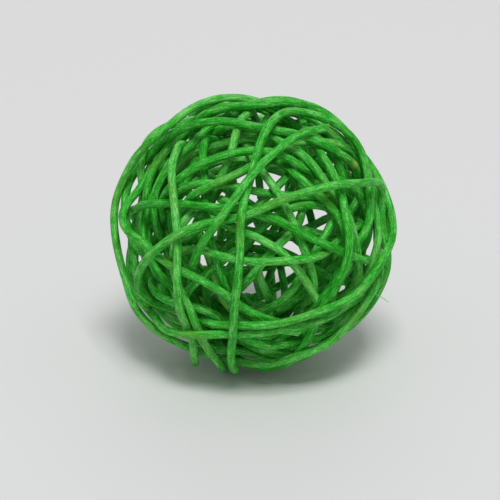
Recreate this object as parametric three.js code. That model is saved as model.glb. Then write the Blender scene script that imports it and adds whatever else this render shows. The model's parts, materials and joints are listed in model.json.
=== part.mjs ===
// Decorative ball wound at random from lengths of green-dyed rattan cane.
// Millimetres, +Z up, origin on the ground under the middle of the ball.
import * as THREE from 'three';
import { mergeVertices } from 'three/addons/utils/BufferGeometryUtils.js';

// Driving dimensions
const BALL_DIAMETER = 70;
const CANE_DIAMETER = 2.1;
const CANE_CLEARANCE = 0.12;
const SEAT_DEPTH = 1.6;
const FLAT_DEPTH = 0.42;
const VIEW_TILT = 22;
const CANE_STEP = 8;
const CANE_SIDES = 5;

// How the canes give way to each other while they settle
const SETTLE_ROUNDS = 900;
const FIRM_ROUNDS = 300;
const NEIGHBOUR_REACH = 7;
const NEIGHBOUR_ROUNDS = 8;
const NEXT_SPANS = 3;
const STEEP_ENOUGH = 0.5;
const NEARLY_MEETING = 0.2;
const LARGEST_MOVE = 0.5;
const PULL_BACK = 0.03;
const LEAST_EASE = 0.05;
const STIFFNESS = 0.35;
const CROSSING_ANGLE = 30;
const LEAST_GIVE = 0.01;
const DEEPEST_LAYER = 3;
const TIGHTEST_BEND = 27;
const DIRECT_LINK = 0.8;

// How finely a route is drawn before the cane is stepped along it
const SAMPLES_PER_POINT = 12;
const SAMPLE_ANGLE = 0.05;
const TUCK_LAYER = 3.2;

// How far the plane of an inner cane swings, and how far the cane climbs, with each turn
const SWING_PER_TURN = 34;
const LAYER_PER_TURN = 0.35;

const TINY = 1e-9;
const MERGE_DISTANCE = 1e-4;

const CANE_RADIUS = CANE_DIAMETER / 2;
const OUTER_SHELL = BALL_DIAMETER / 2 - CANE_RADIUS;
const BALL_CENTRE = new THREE.Vector3(0, 0, BALL_DIAMETER / 2 - SEAT_DEPTH);
const tilt = THREE.MathUtils.degToRad(VIEW_TILT);
const RIGHT = new THREE.Vector3(1, 0, 0);
const UP = new THREE.Vector3(0, Math.sin(tilt), Math.cos(tilt));
const TOWARDS = new THREE.Vector3(0, -Math.cos(tilt), Math.sin(tilt));

// Each pass of a cane over the near side is a hand-chosen route of points [right, up, layer]:
// millimetres from the middle of the ball, seen from the front and VIEW_TILT above it, and
// the number of cane diameters that lie above the cane there.
const passes = {
  uprightBehind: [[-1, 30, 2], [-2, 27, 2], [-5.5, 20, 2], [-9, 13.5, 2.5], [-13.5, 6.5, 3]],
  uprightFront: [[28.8, 8, 1.5], [28.6, 15.7, 0.4], [26.6, 20.2, 0], [22.8, 23.6, 0], [17.2, 27, 0],
    [11.5, 30, 0.2], [8, 28.4, 0.2], [2.5, 22, 0.5], [-0.5, 14, 1], [-2, 5, 0.5], [-3.5, -9, 0],
    [-4.5, -20, 0], [-4.5, -33.5, 0.5]],
  lowerHook: [[-2.5, -23.5, 2.5], [0, -26.5, 2], [4, -30, 1.5], [9, -28, 2]],
  uprightLeft: [[-18, 24.5, 1.5], [-18.5, 18, 1], [-19, 2.5, 1], [-17.5, -11.5, 1],
    [-15, -24.5, 1], [-14, -32, 1]],
  slantFront: [[17.5, 25, 0], [14.5, 24.5, 0], [7, 20, 0], [-2.5, 11, 0], [-7, 4.5, 0],
    [-15.5, -9.5, 2.5]],
  lowerStub: [[16, 26, 3], [5, 12, 3.5], [-8, -6, 3.5], [-14.5, -21, 2.5], [-12.5, -28, 1.8],
    [-11, -31.2, 1.5]],
  risingBand: [[-22, -23, 2.2], [-25, -18.8, 1.6], [-26.8, -12.5, 0.9], [-25.4, -8.4, 0.6],
    [-19.5, -2.5, 0.5], [-2, 4.5, 1.5], [11, 9, 0.5], [19.5, 10.5, 0.5], [27, 11.3, 0.4],
    [31.6, 11, 0.5], [33.2, 10.2, 0.7]],
  risingInner: [[2, -2, 3.5], [13, 4.5, 2.5], [24, 6.5, 3]],
  sagInner: [[-17.5, -4, 2.5], [0, -7, 1.5], [7.5, -7, 1.5], [18.5, -4, 2.5], [29.5, 1, 2]],
  fallingBand: [[-32.5, 4, 1.5], [-28, 6, 1.5], [-18.5, 6.5, 2], [6.5, 1, 2], [15.5, -3.5, 2],
    [30.5, -7.5, 2]],
  cutInner: [[-20, 7, 3.5], [-6.5, 2, 3], [1.5, -1, 2.5], [8.5, -6.5, 3], [14, -12.5, 2], [16, -16, 2]],
  upperArch: [[-30, 17, 1], [-24.5, 22, 0.5], [-21, 23.5, 0.5], [-4.5, 26, 0.5], [3.5, 24.5, 1],
    [24.5, 15.5, 1], [29, 10.5, 1.5]],
  middleArch: [[-24.5, 6.5, 2.5], [-7.5, 17.5, 1.5], [1, 17.5, 2], [9.5, 16, 2], [23.5, 9.5, 2.5],
    [30.5, 5, 2], [32, 1, 1.5]],
  slantBehind: [[-22, 2.5, 3], [-9, 11.5, 2], [-1.5, 15.5, 2], [8.5, 22, 2.5]],
  rightShoulder: [[-11.5, 23.5, 2.5], [7, 23.5, 2], [12, 24, 2], [19, 22.5, 1.5], [28, 18, 1],
    [30.5, 7.5, 2]],
  archInner: [[-20.5, 16.5, 4], [-15, 20.5, 3], [-0.5, 21.5, 3], [16, 20, 3], [25, 12, 3]],
  rightInner: [[2, 24, 3], [7.5, 17, 3], [10.5, 13.5, 2.5], [20, 3, 2], [21, -4.5, 2.5], [20, -8.5, 2.5]],
  rightUpright: [[9.5, 30, 2], [14.5, 20.5, 1.5], [18.5, 16, 1.5], [21, 7.5, 1], [22.5, -1.5, 1],
    [15.5, -20, 1.5], [11.5, -28, 1], [3, -32.5, 1], [-1.5, -33, 1]],
  fallingLeft: [[-21, 23.5, 1.8], [-24.8, 19.6, 1.2], [-28.6, 14, 0.8], [-31, 8.6, 0.6], [-32.7, 5, 0.6],
    [-31.8, 2.6, 0.6], [-29.6, 0.3, 0.8], [-25.5, -2.8, 1], [-17, -8.5, 1.8], [-9, -14, 1.5], [6, -23.5, 2]],
  smileUpper: [[-27.5, -4, 2.5], [-26.5, -11, 2.3], [-23.5, -17.5, 2], [-16.5, -21, 2], [-5.5, -23.5, 1],
    [4, -22.5, 0.5], [20.5, -17, 0.5], [28, -11.5, 0.2], [32, -5.5, 0], [33.7, 1, 0], [32.8, 8.6, 0.3],
    [31, 12.5, 0.8], [27.5, 17.5, 1.8]],
  smileLower: [[-31.5, -1, 1.5], [-29.5, -12.5, 1], [-27, -19.5, 0.5], [-24.5, -21, 0.5], [-9, -24.5, 0.5],
    [9, -23, 1], [21.5, -17.5, 1.5]],
  risingRight: [[16.5, -21.5, 2.5], [20.5, -15.5, 2], [24, -9, 2], [29, -3, 2.5]],
  smileTail: [[-5, -26.5, 2], [0.5, -25, 1.5], [5, -24.5, 1], [11, -24.5, 0.5]],
  rimTop: [[20, 24, 1.6], [13, 28, 1.3], [7.4, 30.2, 1], [1.7, 32.3, 0.3], [-4.7, 33.3, 0], [-10.9, 31.6, 0],
    [-16.5, 28.4, 0], [-21.5, 24.5, 0], [-27, 19.4, 0], [-31.4, 14.2, 0], [-33.5, 8.5, 0.4]],
  rimLeft: [[-33.5, 0, 0.7], [-32.8, -6, 0.5], [-30.6, -12.8, 0], [-28, -19.5, 0], [-24.6, -23.2, 0],
    [-20, -26.6, 0], [-13.5, -29.6, 0.9], [-6, -30.9, 1.4]],
  rimLowerRight: [[2, -32.3, 0.5], [6.6, -31.1, 0.5], [10, -28.9, 0.8], [14.2, -27, 0.8], [18.6, -25.7, 0.3],
    [22.5, -23.3, 0], [25.7, -19.4, 0], [28.7, -14, 0.3], [31, -8, 1], [32, 0, 1.3]],
  rimRightInner: [[17, 26, 1.4], [24, 20.8, 1.4], [28.5, 13.5, 1.5], [31, 6, 1.5], [31.3, -2, 1.5],
    [29, -11, 1.5], [24.5, -18.5, 1.5]],
  baseUpper: [[-19, -24, 2.4], [-10, -27.8, 2.2], [0, -29.4, 1.6], [9, -28, 1.6], [18, -23.5, 1.8]],
  baseLower: [[-14, -27.5, 2.6], [-5, -30, 2.2], [4, -31, 1.4], [12, -28.3, 1.8]],
  crownArch: [[22.5, 24, 1], [15, 28, 1.5], [6, 29, 1.5], [2, 30, 1], [-9.5, 30, 1], [-15.5, 27.2, 1.2],
    [-20.5, 23, 1.8], [-25, 18, 2.2]],
  leftInnerRim: [[-25, 20, 1.5], [-29.2, 4.5, 2.2], [-28.7, -1.5, 2.2], [-26, -11, 2], [-22, -20.5, 2]],
  leftLimb: [[-25.5, 22, 1.9], [-29.3, 12.5, 1.6], [-31.3, 3, 1.5], [-31.2, -5.5, 1.5], [-28, -15.5, 1.6]],
  crownTop: [[9, 30, 1], [2, 31.6, 0.2], [-1.5, 31.8, 0.2], [-10, 31.2, 0.5]],
};

// Passes over the far side, still written as seen from the front
const backPasses = {
  backRising: [[-24, -13, 2.4], [-12, -4, 0.5], [3, 6, 0.3], [15, 15, 0.8], [21, 19, 2.4]],
  backFalling: [[-22, 18, 2.2], [-10, 13, 0.6], [5, 4, 0.5], [18, -7, 0.6], [25, -12, 2.2]],
  backUpright: [[9, 25, 2], [10, 15, 0.8], [8, 0, 0.5], [3, -15, 0.6], [-3, -25, 2]],
};

// The two side-by-side passes that the ball stands on, seen from above through the ball
const underPasses = {
  standLeft: [[-8.5, -16, -0.3], [-7, -9, -1.2], [-6.5, 0, -0.8], [-7, 9, -1.2], [-8, 16, -0.4]],
  standRight: [[5, -15, 2.4], [6, -9, 0.6], [6.8, -3, -0.8], [7, 4, -0.8], [6.8, 11, -1], [6, 17, -0.4]],
};

// The passes that each cane makes in turn, how deep it lies on the far side, and how many
// degrees it runs on, tucked in, before its first pass and after its last one
const canes = {
  cane_upright: { over: ['uprightFront'], farLayer: 1.2, tuckStart: 80, tuckEnd: 0 },
  cane_upright_behind: { over: ['uprightBehind', 'standLeft'], farLayer: 1.2, tuckStart: 70, tuckEnd: 70 },
  cane_left_upright: { over: ['lowerHook', 'uprightLeft'], farLayer: 2.2, tuckStart: 60, tuckEnd: 0 },
  cane_slant: { over: ['slantFront', 'lowerStub'], farLayer: 0.4, tuckStart: 0, tuckEnd: 0 },
  cane_rising: { over: ['risingBand', 'risingInner'], farLayer: 0.9, tuckStart: 40, tuckEnd: 80 },
  cane_sagging: { over: ['sagInner'], farLayer: 1.6, tuckStart: 110, tuckEnd: 110 },
  cane_falling: { over: ['fallingBand'], farLayer: 1.9, tuckStart: 110, tuckEnd: 120 },
  cane_cut_end: { over: ['standRight', 'cutInner'], farLayer: 1.6, tuckStart: 60, tuckEnd: 0 },
  cane_arch: { over: ['upperArch', 'middleArch'], farLayer: 0.1, tuckStart: 80, tuckEnd: 60 },
  cane_slant_behind: { over: ['slantBehind'], farLayer: 2, tuckStart: 110, tuckEnd: 110 },
  cane_shoulder: { over: ['rightShoulder', 'archInner'], farLayer: 1.5, tuckStart: 60, tuckEnd: 60 },
  cane_right_upright: { over: ['rightInner', 'rightUpright'], farLayer: 1.5, tuckStart: 60, tuckEnd: 60 },
  cane_upper_smile: { over: ['fallingLeft', 'smileUpper'], farLayer: 0.7, tuckStart: 60, tuckEnd: 60 },
  cane_lower_smile: {
    over: ['smileLower', 'risingRight', 'smileTail'],
    farLayer: 0.7,
    tuckStart: 60,
    tuckEnd: 0,
  },
  cane_rim: { over: ['rimTop', 'rimLeft', 'rimLowerRight'], farLayer: 1, tuckStart: 60, tuckEnd: 70 },
  cane_crown: { over: ['crownArch', 'leftInnerRim', 'crownTop'], farLayer: 2.4, tuckStart: 70, tuckEnd: 60 },
  cane_right_limb: { over: ['rimRightInner', 'backRising'], farLayer: 1.6, tuckStart: 50, tuckEnd: 60 },
  cane_left_limb: { over: ['leftLimb'], farLayer: 2, tuckStart: 80, tuckEnd: 80 },
  cane_base: { over: ['baseUpper', 'baseLower'], farLayer: 1.6, tuckStart: 30, tuckEnd: 60 },
  cane_back_upright: { over: ['backUpright'], farLayer: 2, tuckStart: 90, tuckEnd: 90 },
  cane_back_falling: { over: ['backFalling'], farLayer: 2, tuckStart: 90, tuckEnd: 90 },
};

// Inner canes, wound turn over turn while the plane of the turns leans and swings round
const innerCanes = {
  cane_inner_first: { turns: 1.9, layer: 3.2, lean: 75, swing: 20, start: 10 },
  cane_inner_second: { turns: 1.9, layer: 3.0, lean: 40, swing: 150, start: 100 },
  cane_inner_third: { turns: 1.9, layer: 3.3, lean: 60, swing: 255, start: 200 },
  cane_inner_fourth: { turns: 1.9, layer: 2.8, lean: 82, swing: 95, start: 300 },
  cane_inner_fifth: { turns: 1.9, layer: 2.9, lean: 50, swing: 340, start: 40 },
};

const shellRadius = (layer) => OUTER_SHELL - layer * CANE_DIAMETER;
const smooth = (t) => t * t * (3 - 2 * t);

// A point of a route, from the middle of the ball: on its layer's shell, on the near side for a
// side of 1 and the far side for -1, or on the outline where it lies further out than that shell
function placePoint([right, up, layer], side) {
  const radius = shellRadius(layer);
  const towards = side * Math.sqrt(Math.max(0, radius * radius - right * right - up * up));
  return new THREE.Vector3()
    .addScaledVector(RIGHT, right)
    .addScaledVector(UP, up)
    .addScaledVector(TOWARDS, towards);
}

// A point of a route under the ball, on its layer's shell
function placeUnder([x, y, layer]) {
  const radius = shellRadius(layer);
  return new THREE.Vector3(x, y, -Math.sqrt(radius * radius - x * x - y * y));
}

// The points of the pass with a name
function placedPoints(name) {
  if (name in passes) return passes[name].map((point) => placePoint(point, 1));
  if (name in backPasses) return backPasses[name].map((point) => placePoint(point, -1));
  return underPasses[name].map(placeUnder);
}

// A smooth route over the ball through the points: directions from a spline, heights blended
function passRoute(name) {
  const placed = placedPoints(name);
  const spline = new THREE.CatmullRomCurve3(placed, false, 'centripetal');
  const samples = SAMPLES_PER_POINT * (placed.length - 1);
  const route = [];
  for (let i = 0; i <= samples; i += 1) {
    const position = i / SAMPLES_PER_POINT;
    const before = Math.min(Math.floor(position), placed.length - 2);
    const [low, high] = [placed[before].length(), placed[before + 1].length()];
    const radius = THREE.MathUtils.lerp(low, high, position - before);
    route.push(spline.getPoint(i / samples).setLength(radius));
  }
  return route;
}

// The way that a route heads at one of its ends, level with the ball's surface
function heading(route, atEnd) {
  const [from, to] = atEnd ? route.slice(-3).filter((p, i) => i !== 1) : [route[0], route[2]];
  const here = (atEnd ? to : from).clone().normalize();
  const ahead = to.clone().sub(from);
  return ahead.addScaledVector(here, -ahead.dot(here)).normalize();
}

// A point at an angle along the great circle that leaves a place with a heading
function greatCircle(place, ahead, angle) {
  return place.clone().normalize().multiplyScalar(Math.cos(angle)).addScaledVector(ahead, Math.sin(angle));
}

// The angle travelled from one place to another along the heading's great circle
function angleAlong(place, ahead, other) {
  const angle = Math.atan2(other.dot(ahead), other.dot(place.clone().normalize()));
  return angle < 0 ? angle + 2 * Math.PI : angle;
}

// The stretch round the far side that carries one pass on into the next
function farLink(before, after, farLayer) {
  const start = before.at(-1);
  const end = after[0];
  const leaving = heading(before, true);
  const arriving = heading(after, false).negate();
  const turn = (angleAlong(start, leaving, end) + angleAlong(end, arriving, start)) / 2;
  const samples = turn < DIRECT_LINK ? 1 : Math.ceil(turn / SAMPLE_ANGLE);
  const link = [];
  for (let i = 1; i < samples; i += 1) {
    const t = i / samples;
    const onward = greatCircle(start, leaving, t * turn);
    const back = greatCircle(end, arriving, (1 - t) * turn);
    const sunk = Math.sin(Math.PI * t) ** 2;
    const level = THREE.MathUtils.lerp(start.length(), end.length(), t);
    const radius = THREE.MathUtils.lerp(level, shellRadius(farLayer), sunk);
    link.push(onward.lerp(back, smooth(t)).setLength(radius));
  }
  return link;
}

// A tail that runs on along the great circle and sinks to the innermost layer
function tuckedTail(route, atEnd, degrees) {
  const place = atEnd ? route.at(-1) : route[0];
  const ahead = heading(route, atEnd);
  if (!atEnd) ahead.negate();
  const turn = THREE.MathUtils.degToRad(degrees);
  const samples = Math.ceil(turn / SAMPLE_ANGLE);
  const tail = [];
  for (let i = 1; i <= samples; i += 1) {
    const t = i / samples;
    const radius = THREE.MathUtils.lerp(place.length(), shellRadius(TUCK_LAYER), smooth(t));
    tail.push(greatCircle(place, ahead, t * turn).setLength(radius));
  }
  return tail;
}

// A centreline redrawn through points one step apart
function evenSteps(line) {
  const spline = new THREE.CatmullRomCurve3(line, false, 'centripetal');
  spline.arcLengthDivisions = 10 * line.length;
  return spline.getSpacedPoints(Math.round(spline.getLength() / CANE_STEP));
}

// The whole centreline of a cane, at even steps
function caneRoute({ over, farLayer, tuckStart, tuckEnd }) {
  const routes = over.map(passRoute);
  const line = tuckedTail(routes[0], false, tuckStart).reverse();
  routes.forEach((route, i) => {
    if (i > 0) line.push(...farLink(routes[i - 1], route, farLayer));
    line.push(...route);
  });
  line.push(...tuckedTail(routes.at(-1), true, tuckEnd));
  return evenSteps(line);
}

// The centreline of an inner cane
function innerRoute({ turns, layer, lean, swing, start }) {
  const samples = Math.ceil((2 * Math.PI * turns) / SAMPLE_ANGLE);
  const line = [];
  for (let i = 0; i <= samples; i += 1) {
    const turn = (i / samples) * turns;
    const around = THREE.MathUtils.degToRad(start) + 2 * Math.PI * turn;
    const leaning = THREE.MathUtils.degToRad(lean);
    const swung = THREE.MathUtils.degToRad(swing + SWING_PER_TURN * turn);
    line.push(new THREE.Vector3(Math.cos(around), Math.sin(around), 0)
      .applyEuler(new THREE.Euler(leaning, 0, swung, 'ZXY'))
      .setLength(shellRadius(layer - LAYER_PER_TURN * turn)));
  }
  return evenSteps(line);
}

// Nearest points of two straight stretches, as fractions along them
function nearestFractions(a0, a1, b0, b1) {
  const da = a1.clone().sub(a0);
  const db = b1.clone().sub(b0);
  const gap = a0.clone().sub(b0);
  const aa = da.dot(da);
  const bb = db.dot(db);
  const ab = da.dot(db);
  const ag = da.dot(gap);
  const bg = db.dot(gap);
  const clamp = THREE.MathUtils.clamp;
  const spread = aa * bb - ab * ab;
  let s = spread > TINY ? clamp((ab * bg - ag * bb) / spread, 0, 1) : 0.5;
  const t = clamp((ab * s + bg) / bb, 0, 1);
  s = clamp((ab * t - ag) / aa, 0, 1);
  return [s, t];
}

// Lets the canes settle: crossing canes part, the over and under of their routes kept, a cane
// bends smoothly, and the lowest ones come down on the ground together
function settle(lines) {
  const nodes = lines.flatMap((line, cane) => line.map((home, index) => {
    const layer = (OUTER_SHELL - home.length()) / CANE_DIAMETER;
    return {
      home,
      at: home.clone(),
      give: THREE.MathUtils.clamp(((layer + 1) / (DEEPEST_LAYER + 1)) ** 2, LEAST_GIVE, 1),
      reach: Math.max(home.length(), OUTER_SHELL),
      cane,
      index,
      last: line.length - 1,
    };
  }));
  const spans = nodes
    .map((node, i) => [node, nodes[i + 1], i])
    .filter(([node]) => node.index < node.last);
  const apart = CANE_DIAMETER + CANE_CLEARANCE;
  const floor = CANE_RADIUS - FLAT_DEPTH - BALL_CENTRE.z;
  const crossing = Math.cos(THREE.MathUtils.degToRad(CROSSING_ANGLE));
  const deepestSag = CANE_STEP * Math.sin(THREE.MathUtils.degToRad(TIGHTEST_BEND / 2));
  let pairs = [];

  const findPairs = () => {
    const middles = spans.map(([from, to]) => from.at.clone().add(to.at).multiplyScalar(0.5));
    pairs = [];
    for (let i = 0; i < spans.length; i += 1) {
      for (let j = i + 1; j < spans.length; j += 1) {
        const sameCane = spans[i][0].cane === spans[j][0].cane;
        if (sameCane && spans[j][2] - spans[i][2] < NEXT_SPANS) continue;
        if (middles[i].distanceTo(middles[j]) < CANE_STEP + NEIGHBOUR_REACH) pairs.push([spans[i], spans[j]]);
      }
    }
  };

  const shift = ([from, to], t, way) => {
    const share = 1 / ((1 - t) ** 2 + t ** 2);
    from.at.addScaledVector(way, (1 - t) * share);
    to.at.addScaledVector(way, t * share);
  };

  const partPair = ([spanA, spanB], ordered) => {
    const [a0, a1] = spanA;
    const [b0, b1] = spanB;
    const [s, t] = nearestFractions(a0.at, a1.at, b0.at, b1.at);
    const onA = a0.at.clone().lerp(a1.at, s);
    const onB = b0.at.clone().lerp(b1.at, t);
    const away = onA.clone().sub(onB);
    const distance = away.length();
    if (distance >= apart) return;
    const outward = onA.clone().add(onB).normalize();
    const homeA = a0.home.clone().lerp(a1.home, s).length();
    const homeB = b0.home.clone().lerp(b1.home, t).length();
    const alongA = a1.at.clone().sub(a0.at).normalize();
    const alongB = b1.at.clone().sub(b0.at).normalize();
    const order = homeA - homeB > CANE_RADIUS / 2 ? 1 : -1;
    let depth = apart - distance;
    if (ordered && Math.abs(alongA.dot(alongB)) < crossing) {
      const above = away.dot(outward) * order;
      if (above < STEEP_ENOUGH * distance || distance < NEARLY_MEETING * apart) {
        away.copy(outward).multiplyScalar(order);
        depth = Math.min(apart - above, LARGEST_MOVE * apart);
      }
    }
    if (away.lengthSq() < TINY) away.copy(outward).multiplyScalar(order);
    const giveA = THREE.MathUtils.lerp(a0.give, a1.give, s);
    const giveB = THREE.MathUtils.lerp(b0.give, b1.give, t);
    away.setLength(depth);
    shift(spanA, s, away.clone().multiplyScalar(giveA / (giveA + giveB)));
    shift(spanB, t, away.clone().multiplyScalar(-giveB / (giveA + giveB)));
  };

  const easeBend = (node, i) => {
    if (node.index === 0 || node.index === node.last) return;
    const before = nodes[i - 1].at;
    const after = nodes[i + 1].at;
    const sag = before.clone().add(after).multiplyScalar(0.5).sub(node.at);
    const excess = sag.length() - deepestSag;
    if (excess <= 0) return;
    sag.setLength(excess / 2);
    node.at.add(sag);
    before.addScaledVector(sag, -0.5);
    after.addScaledVector(sag, -0.5);
  };

  for (let round = 0; round < SETTLE_ROUNDS + FIRM_ROUNDS; round += 1) {
    if (round % NEIGHBOUR_ROUNDS === 0) findPairs();
    const ease = Math.max(0, 1 - round / SETTLE_ROUNDS);
    const shifts = nodes.map((node) => node.at.clone().sub(node.home));
    nodes.forEach((node, i) => {
      const before = shifts[node.index > 0 ? i - 1 : i];
      const after = shifts[node.index < node.last ? i + 1 : i];
      const even = before.clone().add(after).multiplyScalar(0.5);
      const shifted = shifts[i].clone().lerp(even, STIFFNESS * ease);
      const kept = 1 - PULL_BACK * Math.max(ease, LEAST_EASE);
      node.at.copy(node.home).addScaledVector(shifted, kept);
    });
    nodes.forEach(easeBend);
    pairs.forEach((pair) => partPair(pair, round < SETTLE_ROUNDS));
    nodes.forEach((node) => {
      node.at.clampLength(0, node.reach + CANE_CLEARANCE);
      node.at.z = Math.max(node.at.z, floor);
    });
  }
  return lines.map((line, cane) => nodes.filter((node) => node.cane === cane).map((node) => node.at));
}

// A centreline through points one step apart, whose section keeps one side facing out of the ball
class CanePath extends THREE.Curve {
  constructor(points) {
    super();
    this.points = points;
  }

  getPoint(t, target = new THREE.Vector3()) {
    const position = t * (this.points.length - 1);
    const before = Math.min(Math.floor(position), this.points.length - 2);
    return target.lerpVectors(this.points[before], this.points[before + 1], position - before);
  }

  getUtoTmapping(u) {
    return u;
  }

  computeFrenetFrames(segments) {
    const frames = { tangents: [], normals: [], binormals: [] };
    for (let i = 0; i <= segments; i += 1) {
      const tangent = this.getTangent(i / segments);
      const outward = this.getPoint(i / segments);
      const normal = outward.addScaledVector(tangent, -outward.dot(tangent)).normalize();
      frames.tangents.push(tangent);
      frames.normals.push(normal);
      frames.binormals.push(tangent.clone().cross(normal));
    }
    return frames;
  }
}

// The solid of one cane: a round section swept along its path, worn flat where it stands
function caneSolid(points) {
  const section = new THREE.Shape();
  for (let i = 0; i < CANE_SIDES; i += 1) {
    const angle = (2 * Math.PI * (i + 0.5)) / CANE_SIDES;
    const corner = [CANE_RADIUS * Math.cos(angle), CANE_RADIUS * Math.sin(angle)];
    if (i === 0) section.moveTo(...corner);
    else section.lineTo(...corner);
  }
  section.closePath();
  const swept = new THREE.ExtrudeGeometry(section, {
    steps: points.length - 1, extrudePath: new CanePath(points),
  });
  swept.deleteAttribute('normal');
  swept.deleteAttribute('uv');
  swept.translate(BALL_CENTRE.x, BALL_CENTRE.y, BALL_CENTRE.z);
  const solid = mergeVertices(swept, MERGE_DISTANCE);
  const corners = solid.getAttribute('position');
  for (let i = 0; i < corners.count; i += 1) corners.setZ(i, Math.max(0, corners.getZ(i)));
  return solid;
}

const ball = new THREE.Group();
const names = [...Object.keys(canes), ...Object.keys(innerCanes)];
const settled = settle([
  ...Object.values(canes).map(caneRoute),
  ...Object.values(innerCanes).map(innerRoute),
]);
settled.forEach((points, i) => {
  const dyed = new THREE.MeshStandardMaterial({ color: 0x2c7827, roughness: 0.5, metalness: 0 });
  const mesh = new THREE.Mesh(caneSolid(points), dyed);
  mesh.name = names[i];
  ball.add(mesh);
});

export default ball;
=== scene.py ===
"""Dresses the wound ball of green-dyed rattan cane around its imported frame."""

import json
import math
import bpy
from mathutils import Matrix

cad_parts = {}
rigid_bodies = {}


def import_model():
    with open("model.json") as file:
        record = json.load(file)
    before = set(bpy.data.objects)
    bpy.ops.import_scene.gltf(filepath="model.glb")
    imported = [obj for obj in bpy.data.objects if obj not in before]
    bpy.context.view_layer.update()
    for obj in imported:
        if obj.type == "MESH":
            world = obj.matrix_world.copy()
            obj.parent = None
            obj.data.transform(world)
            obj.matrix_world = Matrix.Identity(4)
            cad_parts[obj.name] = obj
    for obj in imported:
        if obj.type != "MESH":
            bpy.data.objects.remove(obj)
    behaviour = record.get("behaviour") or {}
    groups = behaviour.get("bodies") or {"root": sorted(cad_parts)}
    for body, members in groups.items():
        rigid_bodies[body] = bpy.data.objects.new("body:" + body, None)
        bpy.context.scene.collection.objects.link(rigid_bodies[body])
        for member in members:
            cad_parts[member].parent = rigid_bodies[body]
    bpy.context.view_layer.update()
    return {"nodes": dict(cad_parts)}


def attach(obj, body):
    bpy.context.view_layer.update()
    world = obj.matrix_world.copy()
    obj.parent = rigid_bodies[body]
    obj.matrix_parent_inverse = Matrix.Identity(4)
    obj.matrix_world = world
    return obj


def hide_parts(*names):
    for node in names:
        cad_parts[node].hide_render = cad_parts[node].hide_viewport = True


bl_info = {
    "name": "Wound Rattan Ball",
    "version": (1, 0, 0),
    "blender": (4, 5, 0),
    "location": "3D View > Sidebar > Rattan Ball",
    "description": "Turns the plain canes of a wound ball into round dyed rattan, with a stage",
    "category": "Add Mesh",
}

import bmesh
import bpy
import numpy as np
from bpy.props import FloatProperty, FloatVectorProperty, IntProperty, PointerProperty
from mathutils import Vector, noise
from mathutils.kdtree import KDTree

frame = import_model()

BODY = "root"
SLOT = "dyed_cane"
PIECE_PREFIX = "dyed_"
MM = 0.001

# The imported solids: five-sided canes with a ring of corners at every step
MERGE_DISTANCE = 0.01 * MM
RING_EDGE = 2.5 * MM

# The ball as packed
CANE_RADIUS = 1.05 * MM
FLAT_DEPTH = 0.42 * MM
BALL_RADIUS = 35 * MM
BALL_CENTRE = Vector((0, 0, 33.4 * MM))

# How finely a spline is drawn, the fewest steps of a line, and how many reaches the averaging
# of a line takes in
SPLINE_PIECES = 12
LEAST_STEPS = 4
KERNEL_REACHES = 3

# How the round canes are laid against each other
SETTLE_STEP = 1.0 * MM
SETTLE_ROUNDS = 260
FIRM_ROUNDS = 60
NEIGHBOUR_ROUNDS = 20
NEIGHBOUR_REACH = 1.2 * MM
SAME_CANE_GAP = 8
CONTACT_SHARE = 0.45
PUSH_GAIN = 2
PULL_HOME = 0.02
EASED_LENGTH = 2.6 * MM
SPREAD_LENGTH = 2.2 * MM
SPREAD_SHARE = 0.7
FIRM_SPREAD = 1.0
FIRM_SHARE = 0.5

# Lengths of the waves in which a cane strays, swells and changes its ridges
STRAY_WAVES = (21 * MM, 33 * MM)
SWELLING_WAVES = (8 * MM, 19 * MM, 43 * MM)
RIDGE_DRIFT_WAVES = (17 * MM, 41 * MM)
RIDGE_STRENGTH_WAVES = (12 * MM, 29 * MM)

# Relief of the surface: ridges round the cane, and bumps a metre with their share of the height
RIDGE_COUNTS = (2, 3, 5, 7)
RIDGE_DRIFT = 0.8
RIDGE_CHANGE = 0.5
UNEVENNESS = ((620, 0.7), (1500, 0.4))
FACET_ANGLE = math.radians(50)

# The rounded rim of a cut end: how far out, and the thickness there as a share of the cane's
END_RIM = ((0.05 * MM, 0.985), (0.1 * MM, 0.94), (0.14 * MM, 0.86))

# The slant of a cut: how far along the cane it fades out, how fast, and its least share
SLANT_REACH = 3.2 * MM
SLANT_FADING = 1.5
LEAST_SLANT = 0.2

# The camera's picture: its width at the ball, and where the camera aims from the ball's middle
SENSOR_WIDTH = 36
PICTURE_WIDTH = 122.5 * MM
AIM_RIGHT = -0.74 * MM
AIM_UP = -4.4 * MM
NEAR_CLIP = 10 * MM

# Floor and lights
FLOOR_WIDTH = 6
FLOOR_ROUGHNESS = 0.9
KEY_PLACE = (0.25, -1.7, 3.45)
KEY_SIZE = 1.3
BACK_PLACE = (0, 1.6, 0.7)
BACK_SIZE = 1.2

# How near the line of sight a cane's corner lies to count as seen along it
SEEN_REACH = 0.5 * MM

# The undyed spot, seen right of and above the middle of the ball. It ends BARE_EDGE reaches
# from its own middle, and fades out over the last one of them.
BARE_SPOT = (25.7 * MM, 16.9 * MM)
BARE_REACH = 1.2 * MM
BARE_EDGE = 1.3

# The loose fibre, placed in the same way: its root, the way it runs, and its shape
LOOSE_ROOT = (29.2 * MM, -14.6 * MM)
LOOSE_WAY = (3.6 * MM, -1.9 * MM)
LOOSE_HOLD = 0.15
LOOSE_LIFT = 1.2 * MM
LOOSE_CURL = 0.35 * MM
LOOSE_RADIUS = 0.13 * MM
LOOSE_TAPER = 0.7
LOOSE_RINGS = 24
LOOSE_TONE = 1

# Patterns of the grain and the dye: spots a metre, levels of detail, and their roughness
FIBRES = (4600, 3, 0.6)
BUNDLES = (1300, 2, 0.5)
SPECKS = (4200, 2, 0.6)
BLOTCHES = (230, 3, 0.5)
PATCHES = (75, 2, 0.5)
PORES = (9000, 2, 0.5)

# How many spots lie along a cane for each one in the same length across it
FIBRE_STRETCH = 0.14
BUNDLE_STRETCH = 0.15

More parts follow.
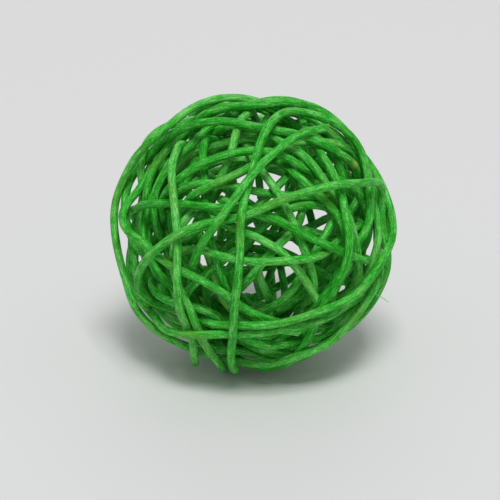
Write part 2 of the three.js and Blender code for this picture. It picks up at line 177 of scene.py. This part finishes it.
# What each pattern and each cane's tone adds to how little dye has soaked in, and to the painted
# sheen
BUNDLE_SHARE = 0.5
SPECK_SHARE = 0.8
BLOTCH_SHARE = 0.4
TONE_SHARE = 0.22
TONE_IN_PATCHES = 0.06

# Where the colours start and end
NOISE_SPAN = (0.3, 0.7)
DARK_TO_MIDDLE = (0.35, 1.4)
MIDDLE_TO_LIGHT = (1.3, 2.4)
OLIVE_SPAN = (0.52, 0.75)
OLIVE_MOST = 0.55
PORE_SPAN = (0.35, 0.65)

# Gloss and fine relief
GLOSS_SPAN = (0.25, 0.75)
ROUGHNESS_SPAN = (0.5, 0.68)
SPECULAR_LEVEL = 0.3
BUNDLE_RELIEF = 1.2
BUMP_STRENGTH = 0.55
BUMP_HEIGHT = 0.08 * MM

SEED = 41


class CaneSettings(bpy.types.PropertyGroup):
    """Fine shape of the canes"""

    step: FloatProperty(
        name="Ring Step",
        description="Distance between the rings of a finished cane",
        default=0.55 * MM, min=0.2 * MM, max=4 * MM, unit="LENGTH", precision=5,
    )
    bevel_resolution: IntProperty(
        name="Roundness",
        description="Bevel resolution of the cane's section",
        default=8, min=2, max=16,
    )
    thickness: FloatProperty(
        name="Thickness",
        description="Thickness of a round cane as a share of the packed one's",
        default=0.95, min=0.7, max=1.1, subtype="FACTOR",
    )
    thickness_range: FloatProperty(
        name="Thickness Range",
        description="How much thicker or thinner than the middle size a whole cane may be",
        default=0.03, min=0, max=0.2, subtype="FACTOR",
    )
    swelling: FloatProperty(
        name="Swelling",
        description="How much the thickness of one cane swells and shrinks along it",
        default=0.022, min=0, max=0.2, subtype="FACTOR",
    )
    wander: FloatProperty(
        name="Wander",
        description="How far a cane strays from its even curve",
        default=0.22 * MM, min=0, max=1 * MM, unit="LENGTH", precision=5,
    )
    ridge: FloatProperty(
        name="Ridge Height",
        description="Height of the long ridges that run along a cane",
        default=0.018 * MM, min=0, max=0.1 * MM, unit="LENGTH", precision=6,
    )
    roughness: FloatProperty(
        name="Surface Roughness",
        description="Height of the fine unevenness of a cane's surface",
        default=0.03 * MM, min=0, max=0.1 * MM, unit="LENGTH", precision=6,
    )
    slant: FloatProperty(
        name="Cut Slant",
        description="Steepest angle at which a cane's end is cut",
        default=math.radians(48), min=0, max=math.radians(65), subtype="ANGLE",
    )


class FinishSettings(bpy.types.PropertyGroup):
    """Colours of the dyed cane"""

    dark: FloatVectorProperty(
        name="Dark Green",
        description="Dye where it has soaked in between the fibres",
        default=(0.001, 0.1, 0.001), min=0, max=1, size=3, subtype="COLOR",
    )
    middle: FloatVectorProperty(
        name="Green",
        description="Dye on most of the cane",
        default=(0.013, 0.43, 0.009), min=0, max=1, size=3, subtype="COLOR",
    )
    # Light green: the raised fibres' own colour, its paleness partly a painted sheen standing in for
    # highlights
    light: FloatVectorProperty(
        name="Light Green",
        description="Dye on the raised fibres",
        default=(0.34, 0.87, 0.27), min=0, max=1, size=3, subtype="COLOR",
    )
    olive: FloatVectorProperty(
        name="Olive",
        description="Patches where the cane's own brown shows through the dye",
        default=(0.1, 0.25, 0.018), min=0, max=1, size=3, subtype="COLOR",
    )
    bare: FloatVectorProperty(
        name="Bare Cane",
        description="Cane that the dye has missed",
        default=(0.34, 0.44, 0.07), min=0, max=1, size=3, subtype="COLOR",
    )
    cut: FloatVectorProperty(
        name="Cut End",
        description="The open fibres of a cut end",
        default=(0.045, 0.2, 0.03), min=0, max=1, size=3, subtype="COLOR",
    )


class StageSettings(bpy.types.PropertyGroup):
    """Floor, light and camera"""

    floor_colour: FloatVectorProperty(
        name="Floor",
        description="Colour of the floor",
        default=(0.72, 0.72, 0.725), min=0, max=1, size=3, subtype="COLOR",
    )
    surround: FloatProperty(
        name="Surround",
        description="Strength of the even light from all around",
        default=0.36, min=0, max=4,
    )
    key: FloatProperty(
        name="Key Light",
        description="Power of the soft light above and in front of the ball",
        default=100, min=0, max=500, unit="POWER",
    )
    back: FloatProperty(
        name="Back Light",
        description="Power of the wide light behind the ball, which lifts the far floor",
        default=5, min=0, max=200, unit="POWER",
    )
    distance: FloatProperty(
        name="Camera Distance",
        description="Distance from the camera to the middle of the ball",
        default=0.6, min=0.1, max=5, unit="LENGTH",
    )
    elevation: FloatProperty(
        name="Camera Elevation",
        description="How far above level the camera stands",
        default=math.radians(22), min=0, max=math.radians(89), subtype="ANGLE",
    )


def deselect_all():
    """Leaves object mode with nothing selected."""
    if bpy.context.object and bpy.context.object.mode != "OBJECT":
        bpy.ops.object.mode_set(mode="OBJECT")
    bpy.ops.object.select_all(action="DESELECT")


def make_active(piece):
    """Selects one object and makes it the active one."""
    deselect_all()
    piece.select_set(True)
    bpy.context.view_layer.objects.active = piece


def ring_sets(solid):
    """Groups the corners of a merged cane into the rings of its section."""
    ring_of = {}
    rings = []
    for first in solid.verts:
        if first in ring_of:
            continue
        ring = [first]
        ring_of[first] = len(rings)
        for corner in ring:
            for edge in corner.link_edges:
                other = edge.other_vert(corner)
                if other not in ring_of and edge.calc_length() < RING_EDGE:
                    ring_of[other] = len(rings)
                    ring.append(other)
        rings.append(ring)
    return rings, ring_of


def ring_middle(ring):
    """The middle of the circle through a ring's three highest corners, which no worn flat moves."""
    first, second, third = sorted((corner.co for corner in ring), key=lambda co: -co.z)[:3]
    a, b = second - first, third - first
    normal = a.cross(b)
    middle = (b.length_squared * normal.cross(a) - a.length_squared * normal.cross(b))
    return first + middle / (2 * normal.length_squared)


def cane_line(node):
    """The centreline of a packed cane, one point for each of its rings."""
    solid = bmesh.new()
    solid.from_mesh(node.data)
    bmesh.ops.remove_doubles(solid, verts=solid.verts, dist=MERGE_DISTANCE)
    rings, ring_of = ring_sets(solid)
    beside = [set() for _ in rings]
    for edge in solid.edges:
        a, b = (ring_of[corner] for corner in edge.verts)
        if a != b:
            beside[a].add(b)
            beside[b].add(a)
    ends = [i for i, others in enumerate(beside) if len(others) == 1]
    if len(ends) != 2 or any(len(others) > 2 for others in beside):
        raise RuntimeError(f"{node.name} is not one plain cane")
    order = [ends[0]]
    while len(order) < len(rings):
        order.append(next(i for i in beside[order[-1]] if i not in order[-2:]))
    line = np.array([ring_middle(rings[i]) for i in order])
    solid.free()
    return line


def run_lengths(line):
    """The length along a line up to each of its points."""
    return np.concatenate([[0], np.cumsum(np.linalg.norm(np.diff(line, axis=0), axis=1))])


def drawn_through(line, step):
    """A smooth line through the points of another, with its own points one step apart."""
    before = 2 * line[0] - line[1]
    after = 2 * line[-1] - line[-2]
    points = np.vstack([before, line, after])
    fine = []
    for i in range(1, len(points) - 2):
        p0, p1, p2, p3 = points[i - 1:i + 3]
        for t in np.arange(SPLINE_PIECES) / SPLINE_PIECES:
            fine.append(0.5 * (
                2 * p1 + (p2 - p0) * t + (2 * p0 - 5 * p1 + 4 * p2 - p3) * t ** 2
                + (3 * p1 - p0 - 3 * p2 + p3) * t ** 3
            ))
    fine.append(points[-2])
    return stepped(np.array(fine), step)


def stepped(line, step):
    """A line's points moved along it until they are one step apart."""
    along = run_lengths(line)
    count = max(LEAST_STEPS, round(along[-1] / step))
    wanted = np.linspace(0, along[-1], count + 1)
    return np.stack([np.interp(wanted, along, line[:, axis]) for axis in range(3)], axis=1)


def smoothed(values, reach):
    """Values along a line, averaged with their neighbours over a reach counted in points."""
    half = int(math.ceil(KERNEL_REACHES * reach))
    kernel = np.exp(-0.5 * (np.arange(-half, half + 1) / reach) ** 2)
    kernel /= kernel.sum()
    first = 2 * values[0] - values[half:0:-1]
    last = 2 * values[-1] - values[-2:-half - 2:-1]
    padded = np.concatenate([first, values, last])
    return np.stack([np.convolve(padded[:, axis], kernel, mode="valid") for axis in range(3)], axis=1)


def ripple(along, lengths, rng):
    """A smooth random wave along a cane, about one high, made of a few lengths of wave."""
    wave = np.zeros(len(along))
    for length in lengths:
        wave += np.sin(2 * math.pi * along / length + rng.uniform(0, 2 * math.pi))
    return wave / math.sqrt(len(lengths))


class Winding:
    """All the canes of the ball, as rows of points that settle against each other."""

    def __init__(self, lines, settings):
        rng = np.random.default_rng(SEED)
        scale = settings.thickness * (1 + settings.thickness_range * rng.uniform(-1, 1, len(lines)))
        rows = []
        radii = []
        for line, size in zip(lines, scale):
            row = drawn_through(line, SETTLE_STEP)
            row = smoothed(row, EASED_LENGTH / SETTLE_STEP)
            along = run_lengths(row)
            stray = np.stack([ripple(along, STRAY_WAVES, rng) for _ in range(3)], axis=1)
            rows.append(row + settings.wander * stray)
            swell = ripple(along, SWELLING_WAVES, rng)
            radii.append(CANE_RADIUS * size * (1 + settings.swelling * swell))
        self.starts = np.cumsum([0] + [len(row) for row in rows])
        self.home = np.vstack(rows)
        self.at = self.home.copy()
        self.radius = np.concatenate(radii)
        self.cane = np.repeat(np.arange(len(rows)), [len(row) for row in rows])
        self.reach = np.maximum(
            np.linalg.norm(self.home - np.array(BALL_CENTRE), axis=1), BALL_RADIUS - self.radius)

    def rows(self, values):
        """The values of each cane in turn."""
        return [values[a:b] for a, b in zip(self.starts[:-1], self.starts[1:])]

    def find_pairs(self):
        """The pairs of points that could come to touch."""
        tree = KDTree(len(self.at))
        for i, point in enumerate(self.at):
            tree.insert(point, i)
        tree.balance()
        furthest = 2 * self.radius.max() + NEIGHBOUR_REACH
        pairs = []
        for i, point in enumerate(self.at):
            for _, j, _ in tree.find_range(point, furthest):
                if j > i and (self.cane[i] != self.cane[j] or j - i > SAME_CANE_GAP):
                    pairs.append((i, j))
        return np.array(pairs).T

    def part(self, pairs):
        """How far each point is pushed by the canes that it presses into, and the deepest press."""
        a, b = pairs
        away = self.at[a] - self.at[b]
        distance = np.linalg.norm(away, axis=1)
        depth = self.radius[a] + self.radius[b] - distance
        pressing = depth > 0
        a, b, away = a[pressing], b[pressing], away[pressing]
        push = away * (CONTACT_SHARE * depth[pressing] / distance[pressing])[:, None]
        pushed = np.zeros_like(self.at)
        counted = np.zeros(len(self.at))
        np.add.at(pushed, a, push)
        np.add.at(pushed, b, -push)
        np.add.at(counted, a, 1)
        np.add.at(counted, b, 1)
        return pushed / np.maximum(counted, 1)[:, None], float(depth.max(initial=0))

    def settle(self):
        """Lets the canes part where they press into each other, each keeping an easy curve."""
        centre = np.array(BALL_CENTRE)
        spread = SPREAD_LENGTH / SETTLE_STEP
        for turn in range(SETTLE_ROUNDS + FIRM_ROUNDS):
            if turn % NEIGHBOUR_ROUNDS == 0:
                pairs = self.find_pairs()
            pushed, deepest = self.part(pairs)
            if turn < SETTLE_ROUNDS:
                shifted = self.at + PUSH_GAIN * pushed - self.home
                eased = np.vstack([smoothed(row, spread) for row in self.rows(shifted)])
                mixed = SPREAD_SHARE * eased + (1 - SPREAD_SHARE) * shifted
                self.at = self.home + (1 - PULL_HOME) * mixed
            else:
                eased = np.vstack([smoothed(row, FIRM_SPREAD) for row in self.rows(pushed)])
                self.at = self.at + FIRM_SHARE * (eased + pushed)
            outward = self.at - centre
            far = np.linalg.norm(outward, axis=1)
            self.at = centre + outward * np.minimum(1, self.reach / far)[:, None]
            self.at[:, 2] = np.maximum(self.at[:, 2], self.radius - FLAT_DEPTH)
        print(f"canes press into each other by at most {deepest / MM:.3f} mm")


def rimmed(line, radii):
    """A line and its thickness with a small rounded rim added at both ends."""
    first = line[0] - line[1]
    last = line[-1] - line[-2]
    first /= np.linalg.norm(first)
    last /= np.linalg.norm(last)
    reaches = np.array([reach for reach, _ in END_RIM])
    shares = np.array([share for _, share in END_RIM])
    line = np.vstack([
        line[0] + first * reaches[::-1, None], line, line[-1] + last * reaches[:, None]])
    return line, np.concatenate([radii[0] * shares[::-1], radii, radii[-1] * shares])


def add_tube(name, line, radii, settings):
    """A closed round tube along a line, drawn as a bevelled curve and made a mesh."""
    deselect_all()
    bpy.ops.curve.primitive_nurbs_path_add(location=(0, 0, 0))
    path = bpy.context.object
    path.name = name
    curve = path.data
    curve.splines.clear()
    spline = curve.splines.new("POLY")
    spline.points.add(len(line) - 1)
    spline.points.foreach_set("co", np.c_[line, np.ones(len(line))].ravel())
    spline.points.foreach_set("radius", radii / CANE_RADIUS)
    curve.dimensions = "3D"
    curve.twist_mode = "MINIMUM"
    curve.bevel_depth = CANE_RADIUS
    curve.bevel_resolution = settings.bevel_resolution
    curve.use_fill_caps = True
    make_active(path)
    bpy.ops.object.convert(target="MESH")
    tube = bpy.context.object
    bpy.ops.object.mode_set(mode="EDIT")
    bpy.ops.mesh.select_all(action="SELECT")
    bpy.ops.mesh.remove_doubles(threshold=MERGE_DISTANCE)
    bpy.ops.mesh.normals_make_consistent(inside=False)
    bpy.ops.object.mode_set(mode="OBJECT")
    tube.data.name = name
    return tube


def surface_places(mesh, count):
    """For each corner of a tube of so many rings: the angle round the cane, and its ring."""
    corner = np.empty(len(mesh.loops), int)
    mesh.loops.foreach_get("vertex_index", corner)
    places = np.empty(len(mesh.loops) * 2)
    mesh.uv_layers[0].data.foreach_get("uv", places)
    places = places.reshape(-1, 2)
    on_side = np.zeros(len(mesh.loops), bool)
    for face in mesh.polygons:
        if len(face.vertices) == 4:
            on_side[face.loop_start:face.loop_start + 4] = True
    around = np.zeros(len(mesh.vertices))
    ring = np.zeros(len(mesh.vertices), int)
    around[corner[on_side]] = 2 * math.pi * places[on_side, 1]
    ring[corner[on_side]] = np.rint(places[on_side, 0] * (count - 1))
    return around, ring


def corner_places(mesh):
    """The places of a mesh's corners."""
    places = np.empty(len(mesh.vertices) * 3)
    mesh.vertices.foreach_get("co", places)
    return places.reshape(-1, 3)


def slant_ends(places, line, ring, settings, rng):
    """Shears both ends of a cane, so that each is cut off at a slant of its own."""
    along = run_lengths(line)[ring]
    length = along.max()
    for end, from_end, into in ((line[0], along, line[1]), (line[-1], length - along, line[-2])):
        outward = end - into
        outward /= np.linalg.norm(outward)
        side = np.cross(outward, rng.normal(size=3))
        side /= np.linalg.norm(side)
        slope = math.tan(settings.slant) * rng.uniform(LEAST_SLANT, 1)
        share = np.clip(1 - from_end / SLANT_REACH, 0, 1) ** SLANT_FADING
        places += np.outer(share * slope * ((places - line[ring]) @ side), outward)


def rough_surface(tube, around, ring, line, settings, rng):
    """Raises the cane's long ridges and fine unevenness, cuts its ends and wears its foot flat."""
    mesh = tube.data
    places = corner_places(mesh)
    outward = np.array([vertex.normal for vertex in mesh.vertices])
    along = run_lengths(line)[ring]
    relief = np.zeros(len(places))
    for ridges in RIDGE_COUNTS:
        drift = RIDGE_DRIFT * ripple(along, RIDGE_DRIFT_WAVES, rng)
        strength = 1 + RIDGE_CHANGE * ripple(along, RIDGE_STRENGTH_WAVES, rng)
        relief += strength * np.cos(ridges * around + drift + rng.uniform(0, 2 * math.pi)) / ridges
    relief *= settings.ridge
    for scale, share in UNEVENNESS:
        relief += settings.roughness * share * np.array([
            noise.noise(Vector(place) * scale) for place in places])
    slant_ends(places, line, ring, settings, rng)
    places += outward * relief[:, None]
    places[:, 2] = np.maximum(places[:, 2], 0)
    mesh.vertices.foreach_set("co", places.ravel())
    mesh.update()


def record_grain(mesh, around, along, tone, offset):
    """Writes where each corner lies on the cane's own cylinder, for the grain to follow."""
    grain = mesh.attributes.new("grain", "FLOAT_VECTOR", "POINT")
    places = np.stack([
        CANE_RADIUS * np.cos(around), CANE_RADIUS * np.sin(around), along + offset], axis=1)
    grain.data.foreach_set("vector", places.ravel())
    dye = mesh.attributes.new("dye", "FLOAT", "POINT")
    dye.data.foreach_set("value", np.full(len(mesh.vertices), tone))
    cut = mesh.attributes.new("cut", "FLOAT", "FACE")
    cut.data.foreach_set("value", [float(len(face.vertices) > 4) for face in mesh.polygons])


def view_ray(right, up, settings):
    """Where the camera stands, and the way it looks at a place beside the middle of the ball."""
    place, across, above = camera_place(settings)
    seen = BALL_CENTRE + right * across + up * above
    return np.array(place), np.array((seen - place).normalized())


def nearest_seen(tubes, right, up, settings):
    """The foremost corner of any cane that the camera sees at a place beside the ball's middle."""
    place, way = view_ray(right, up, settings)
    best = None
    for tube in tubes:
        places = corner_places(tube.data)
        ahead = (places - place) @ way
        aside = np.linalg.norm(places - place - np.outer(ahead, way), axis=1)
        ahead[aside > SEEN_REACH] = np.inf
        i = int(ahead.argmin())
        if best is None or ahead[i] < best[0]:
            best = (ahead[i], tube, i)
    if not np.isfinite(best[0]):
        raise RuntimeError("no cane is seen there")
    return best[1], best[2]


def record_bare_spot(tubes, settings):
    """Writes how far the dye has missed each corner: fully on one small spot."""
    carrier, i = nearest_seen(tubes, *BARE_SPOT, settings)
    spot = corner_places(carrier.data)[i]
    for tube in tubes:
        bare = tube.data.attributes.new("bare", "FLOAT", "POINT")
        distance = np.linalg.norm(corner_places(tube.data) - spot, axis=1)
        share = np.clip(BARE_EDGE - distance / BARE_REACH, 0, 1) * (tube == carrier)
        bare.data.foreach_set("value", share)


class Shading:
    """Adds the nodes of one material and links them."""

    def __init__(self, material):
        self.nodes = material.node_tree.nodes
        self.links = material.node_tree.links

    def attribute(self, name):
        """A value written on the mesh."""
        node = self.nodes.new("ShaderNodeAttribute")
        node.attribute_name = name
        return node

    def noise(self, vector, pattern):
        """One of the patterns, laid out over places."""
        scale, detail, rough = pattern
        node = self.nodes.new("ShaderNodeTexNoise")
        node.inputs["Scale"].default_value = scale
        node.inputs["Detail"].default_value = detail
        node.inputs["Roughness"].default_value = rough
        self.links.new(vector, node.inputs["Vector"])
        return node.outputs["Fac"]

    def stretched(self, vector, lengthwise):
        """Places with their length along the cane scaled."""
        node = self.nodes.new("ShaderNodeMapping")
        node.inputs["Scale"].default_value = (1, 1, lengthwise)
        self.links.new(vector, node.inputs["Vector"])
        return node.outputs["Vector"]

    def remapped(self, value, span, to_span=(0, 1)):
        """A value taken from one span to another, and held inside it."""
        node = self.nodes.new("ShaderNodeMapRange")
        node.inputs["From Min"].default_value = span[0]
        node.inputs["From Max"].default_value = span[1]
        node.inputs["To Min"].default_value = to_span[0]
        node.inputs["To Max"].default_value = to_span[1]
        self.links.new(value, node.inputs["Value"])
        return node.outputs["Result"]

    def mixed(self, factor, first, second):
        """A blend of two colours, each a plain one or another node's."""
        node = self.nodes.new("ShaderNodeMix")
        node.data_type = "RGBA"
        self.links.new(factor, node.inputs["Factor"])
        for socket, colour in zip((node.inputs[6], node.inputs[7]), (first, second)):
            if isinstance(colour, bpy.types.NodeSocket):
                self.links.new(colour, socket)
            else:
                socket.default_value = (*colour, 1)
        return node.outputs[2]

    def added(self, first, second, share):
        """The first value and a share of the second."""
        node = self.nodes.new("ShaderNodeMath")
        node.operation = "MULTIPLY_ADD"
        self.links.new(second, node.inputs[0])
        node.inputs[1].default_value = share
        self.links.new(first, node.inputs[2])
        return node.outputs["Value"]

    def bump(self, height):
        """The surface's direction over a fine relief."""
        node = self.nodes.new("ShaderNodeBump")
        node.inputs["Strength"].default_value = BUMP_STRENGTH
        node.inputs["Distance"].default_value = BUMP_HEIGHT
        self.links.new(height, node.inputs["Height"])
        return node.outputs["Normal"]


def dye_colour(shading, grain, fibres, bundles, settings):
    """The dye: dark where it has soaked in, light green on raised fibres, whose paleness is partly a
    painted sheen, olive in a few patches.
    """
    tone = shading.attribute("dye").outputs["Fac"]
    specks = shading.noise(grain, SPECKS)
    blotches = shading.noise(grain, BLOTCHES)
    patches = shading.noise(grain, PATCHES)
    layers = ((bundles, BUNDLE_SHARE), (specks, SPECK_SHARE), (blotches, BLOTCH_SHARE))
    dryness_and_sheen = shading.remapped(fibres, NOISE_SPAN)
    for layer, share in layers:
        dryness_and_sheen = shading.added(dryness_and_sheen, shading.remapped(layer, NOISE_SPAN), share)
    dryness_and_sheen = shading.added(dryness_and_sheen, tone, TONE_SHARE)
    soaked = shading.mixed(
        shading.remapped(dryness_and_sheen, DARK_TO_MIDDLE), settings.dark, settings.middle)
    # Pale green on the driest specks: raised fibres, partly a painted sheen
    dyed = shading.mixed(shading.remapped(dryness_and_sheen, MIDDLE_TO_LIGHT), soaked, settings.light)
    brown = shading.added(patches, tone, TONE_IN_PATCHES)
    return shading.mixed(
        shading.remapped(brown, OLIVE_SPAN, (0, OLIVE_MOST)), dyed, settings.olive)


def sawn_colour(shading, grain, settings):
    """The end of a cut cane: dyed wood full of dark pores."""
    pores = shading.remapped(shading.noise(grain, PORES), PORE_SPAN)
    return shading.mixed(pores, settings.dark, settings.cut)


def dyed_cane_material(settings):
    """Green-dyed rattan: fine lengthwise grain, uneven dye with some painted sheen, a matt to satin
    surface.
    """
    material = bpy.data.materials.new(SLOT)
    material.use_nodes = True
    shading = Shading(material)
    shader = shading.nodes["Principled BSDF"]
    grain = shading.attribute("grain").outputs["Vector"]
    fibres = shading.noise(shading.stretched(grain, FIBRE_STRETCH), FIBRES)
    bundles = shading.noise(shading.stretched(grain, BUNDLE_STRETCH), BUNDLES)

    cut = shading.attribute("cut").outputs["Fac"]
    bare = shading.attribute("bare").outputs["Fac"]
    dyed = dye_colour(shading, grain, fibres, bundles, settings)
    colour = shading.mixed(cut, dyed, sawn_colour(shading, grain, settings))
    colour = shading.mixed(bare, colour, settings.bare)
    roughness = shading.remapped(fibres, GLOSS_SPAN, ROUGHNESS_SPAN)
    relief = shading.bump(shading.added(fibres, bundles, BUNDLE_RELIEF))
    shading.links.new(colour, shader.inputs["Base Color"])
    shading.links.new(roughness, shader.inputs["Roughness"])
    shading.links.new(relief, shader.inputs["Normal"])
    shader.inputs["Specular IOR Level"].default_value = SPECULAR_LEVEL
    return material


def finish_cane(piece, material):
    """Shades a cane or fibre smooth, dresses it and makes it ride on the ball."""
    make_active(piece)
    bpy.ops.object.shade_smooth_by_angle(angle=FACET_ANGLE)
    piece.data.materials.clear()
    piece.data.materials.append(material)
    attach(piece, BODY)


class RATTAN_OT_canes(bpy.types.Operator):
    """Lays a round dyed cane in the place of each packed one"""

    bl_idname = "rattan.canes"
    bl_label = "Lay Canes"

    def execute(self, context):
        settings = context.scene.rattan_canes
        nodes = frame["nodes"]
        names = sorted(nodes)
        winding = Winding([cane_line(nodes[name]) for name in names], settings)
        winding.settle()
        material = dyed_cane_material(context.scene.rattan_finish)
        rng = np.random.default_rng(SEED + 1)
        tubes = []
        rows = zip(names, winding.rows(winding.at), winding.rows(winding.radius))
        for name, row, radii in rows:
            line = drawn_through(row, settings.step)
            sizes = np.interp(
                np.linspace(0, 1, len(line)), np.linspace(0, 1, len(radii)), radii)
            line, sizes = rimmed(line, sizes)
            tube = add_tube(PIECE_PREFIX + name, line, sizes, settings)
            around, ring = surface_places(tube.data, len(line))
            rough_surface(tube, around, ring, line, settings, rng)
            along = run_lengths(line)[ring]
            record_grain(tube.data, around, along, rng.uniform(-1, 1), rng.uniform(0, 1))
            finish_cane(tube, material)
            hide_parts(name)
            tubes.append(tube)
        record_bare_spot(tubes, context.scene.rattan_stage)
        return {"FINISHED"}


class RATTAN_OT_fibre(bpy.types.Operator):
    """Adds the thin fibre that has sprung loose at the lower right"""

    bl_idname = "rattan.fibre"
    bl_label = "Add Loose Fibre"

    def execute(self, context):
        settings = context.scene.rattan_stage
        tubes = [piece for piece in bpy.data.objects if piece.name.startswith(PIECE_PREFIX)]
        carrier, i = nearest_seen(tubes, *LOOSE_ROOT, settings)
        root = corner_places(carrier.data)[i]
        _, across, above = camera_place(settings)
        way = np.array(LOOSE_WAY[0] * across + LOOSE_WAY[1] * above)
        outward = root - np.array(BALL_CENTRE)
        outward /= np.linalg.norm(outward)
        t = np.linspace(0, 1, LOOSE_RINGS)[:, None]
        line = root - way * LOOSE_HOLD + (way + LOOSE_LIFT * outward) * t
        line += LOOSE_CURL * np.sin(math.pi * t) * np.array(above)
        radii = LOOSE_RADIUS * (1 - LOOSE_TAPER * t[:, 0] ** 2)
        fibre = add_tube("loose_fibre", line, radii, context.scene.rattan_canes)
        around, ring = surface_places(fibre.data, len(line))
        record_grain(fibre.data, around, run_lengths(line)[ring], LOOSE_TONE, 0)
        fibre.data.attributes.new("bare", "FLOAT", "POINT")
        finish_cane(fibre, carrier.data.materials[0])
        return {"FINISHED"}


def add_floor(settings):
    """A wide plain floor."""
    deselect_all()
    bpy.ops.mesh.primitive_plane_add(size=FLOOR_WIDTH, location=(0, 0, 0))
    floor = bpy.context.object
    floor.name = "floor"
    paper = bpy.data.materials.new("paper")
    paper.use_nodes = True
    shader = paper.node_tree.nodes["Principled BSDF"]
    shader.inputs["Base Color"].default_value = (*settings.floor_colour, 1)
    shader.inputs["Roughness"].default_value = FLOOR_ROUGHNESS
    floor.data.materials.append(paper)


def add_light(name, place, size, power):
    """A square soft light that shines at the ball."""
    deselect_all()
    place = Vector(place)
    turn = (BALL_CENTRE - place).to_track_quat("-Z", "Y").to_euler()
    bpy.ops.object.light_add(type="AREA", location=place, rotation=turn)
    light = bpy.context.object
    light.name = name
    light.data.size = size
    light.data.energy = power


def camera_place(settings):
    """Where the camera stands, and the ways to the right and up in its picture."""
    angle = settings.elevation
    across = Vector((1, 0, 0))
    above = Vector((0, math.sin(angle), math.cos(angle)))
    towards = Vector((0, -math.cos(angle), math.sin(angle)))
    aim = BALL_CENTRE + AIM_RIGHT * across + AIM_UP * above
    return aim + settings.distance * towards, across, above


def add_camera(settings):
    """A camera where the photograph's stood, with the ball a little right of and above the middle."""
    deselect_all()
    place, _, _ = camera_place(settings)
    turn = (math.pi / 2 - settings.elevation, 0, 0)
    bpy.ops.object.camera_add(location=place, rotation=turn)
    camera = bpy.context.object
    camera.data.sensor_width = SENSOR_WIDTH
    camera.data.lens = SENSOR_WIDTH * settings.distance / PICTURE_WIDTH
    camera.data.clip_start = NEAR_CLIP
    bpy.context.scene.camera = camera


def set_surround(settings):
    """Even pale light from all around, and colours shown as they are."""
    world = bpy.data.worlds.new("surround")
    bpy.context.scene.world = world
    world.use_nodes = True
    background = world.node_tree.nodes["Background"]
    background.inputs["Color"].default_value = (1, 1, 1, 1)
    background.inputs["Strength"].default_value = settings.surround
    bpy.context.scene.view_settings.view_transform = "Standard"


class RATTAN_OT_stage(bpy.types.Operator):
    """Adds the pale floor, the soft light and the camera"""

    bl_idname = "rattan.stage"
    bl_label = "Set Stage"

    def execute(self, context):
        settings = context.scene.rattan_stage
        add_floor(settings)
        add_light("key", KEY_PLACE, KEY_SIZE, settings.key)
        add_light("back", BACK_PLACE, BACK_SIZE, settings.back)
        set_surround(settings)
        add_camera(settings)
        return {"FINISHED"}


class RATTAN_PT_panel(bpy.types.Panel):
    """Sidebar panel of the wound ball"""

    bl_label = "Rattan Ball"
    bl_idname = "RATTAN_PT_panel"
    bl_space_type = "VIEW_3D"
    bl_region_type = "UI"
    bl_category = "Rattan Ball"

    def draw(self, context):
        for title, group in SETTINGS.items():
            box = self.layout.box()
            box.label(text=group[1])
            values = getattr(context.scene, title)
            for name in group[0].__annotations__:
                box.prop(values, name)
        for operator in OPERATORS:
            self.layout.operator(operator.bl_idname)


SETTINGS = {
    "rattan_canes": (CaneSettings, "Canes"),
    "rattan_finish": (FinishSettings, "Finish"),
    "rattan_stage": (StageSettings, "Stage"),
}
OPERATORS = (RATTAN_OT_canes, RATTAN_OT_fibre, RATTAN_OT_stage)
CLASSES = (CaneSettings, FinishSettings, StageSettings, *OPERATORS, RATTAN_PT_panel)


def register():
    for cls in CLASSES:
        bpy.utils.register_class(cls)
    for name, group in SETTINGS.items():
        setattr(bpy.types.Scene, name, PointerProperty(type=group[0]))


def unregister():
    for name in SETTINGS:
        delattr(bpy.types.Scene, name)
    for cls in reversed(CLASSES):
        bpy.utils.unregister_class(cls)


def main():
    register()
    bpy.ops.rattan.canes()
    bpy.ops.rattan.fibre()
    bpy.ops.rattan.stage()


if __name__ == "__main__":
    main()
